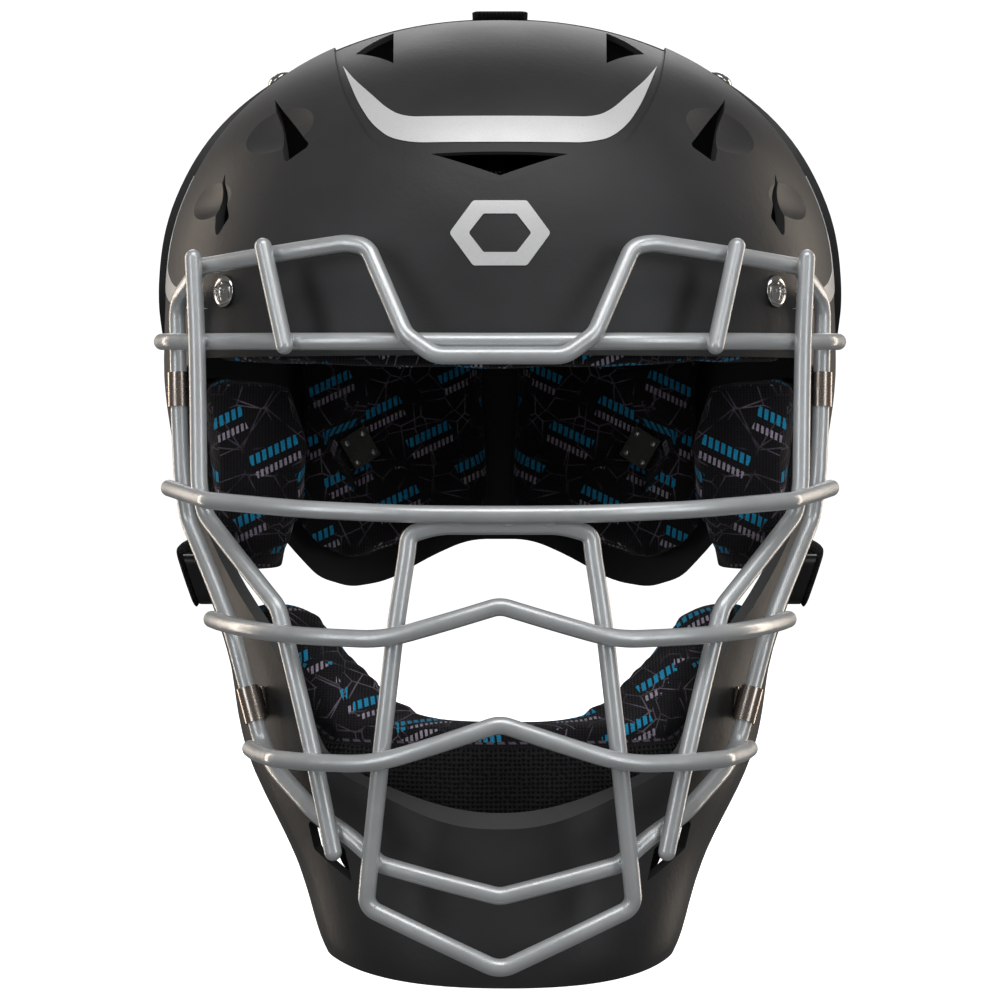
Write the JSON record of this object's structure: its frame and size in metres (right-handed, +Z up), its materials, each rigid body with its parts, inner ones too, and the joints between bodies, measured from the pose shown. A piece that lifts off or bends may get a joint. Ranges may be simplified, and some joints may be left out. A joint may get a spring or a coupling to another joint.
{
  "type": "catchers mask",
  "caption": "Hockey-style catcher's helmet: hard shell, sliding back plate, welded wire face cage on clips, screws, elastic straps and printed knit pads.",
  "frame": {"origin": "middle of the wearer's head on the line of sight, which is the head mount", "axes": "+Z up, the face looks along -Y, +X to the right seen from the front"},
  "size_m": [0.2502, 0.2992, 0.3398],
  "materials": {
    "cage_steel": "satin silver paint",
    "clip_steel": "polished",
    "screw_steel": "polished",
    "nut_steel": "plain zinc",
    "shell_plastic": "matte",
    "plate_plastic": "matte",
    "pad_fabric": "knit over foam",
    "strap_webbing": "woven elastic",
    "fitting_plastic": "semi-gloss",
    "smoky_plastic": "smoky translucent",
    "rivet_steel": "plain",
    "silver_print": "silver satin print"
  },
  "bodies": {
    "shell": {"brow_badge": "silver_print", "brow_bar": "cage_steel", "brow_pad": "pad_fabric", "brow_screws": "screw_steel", "chin_pad": "pad_fabric", "clip_nuts": "nut_steel", "clip_screws": "screw_steel", "crown_crescent": "silver_print", "crown_pad": "pad_fabric", "crown_screws": "screw_steel", "eye_bar": "cage_steel", "frame_wire": "cage_steel", "front_shell": "shell_plastic", "left_accent": "silver_print", "left_cheek_pad": "pad_fabric", "left_lower_clip": "clip_steel", "left_strap_anchor": "fitting_plastic", "left_strut_wire": "cage_steel", "left_upper_clip": "clip_steel", "left_upright_wire": "cage_steel", "mouth_bar": "cage_steel", "nose_bar": "cage_steel", "nose_loop_wire": "cage_steel", "right_accent": "silver_print", "right_cheek_pad": "pad_fabric", "right_lower_clip": "clip_steel", "right_strap_anchor": "fitting_plastic", "right_strut_wire": "cage_steel", "right_upper_clip": "clip_steel", "right_upright_wire": "cage_steel", "shell_nuts": "nut_steel"},
    "back_plate": {"back_plate": "plate_plastic", "left_rear_pad": "pad_fabric", "left_strap": "strap_webbing", "rear_top_pad": "pad_fabric", "right_rear_pad": "pad_fabric", "right_strap": "strap_webbing", "strap_anchor_plates": "smoky_plastic", "strap_rivets": "rivet_steel", "top_strap": "strap_webbing"},
    "left_slider": {"left_strap_slider": "fitting_plastic"},
    "right_slider": {"right_strap_slider": "fitting_plastic"}
  },
  "joints": [
    {"name": "back_plate_slide", "type": "slide", "parent": "shell", "child": "back_plate", "axis": [0, 1, 0], "range_m": [0, 0.02], "stiffness_N_per_m": 250, "springref_m": -0.01},
    {"name": "left_slider_slide", "type": "slide", "parent": "back_plate", "child": "left_slider", "axis": [0.4389, 0.8454, 0.3044], "range_m": [-0.003, 0.003]},
    {"name": "right_slider_slide", "type": "slide", "parent": "back_plate", "child": "right_slider", "axis": [-0.4389, 0.8454, 0.3044], "range_m": [-0.003, 0.003]}
  ]
}
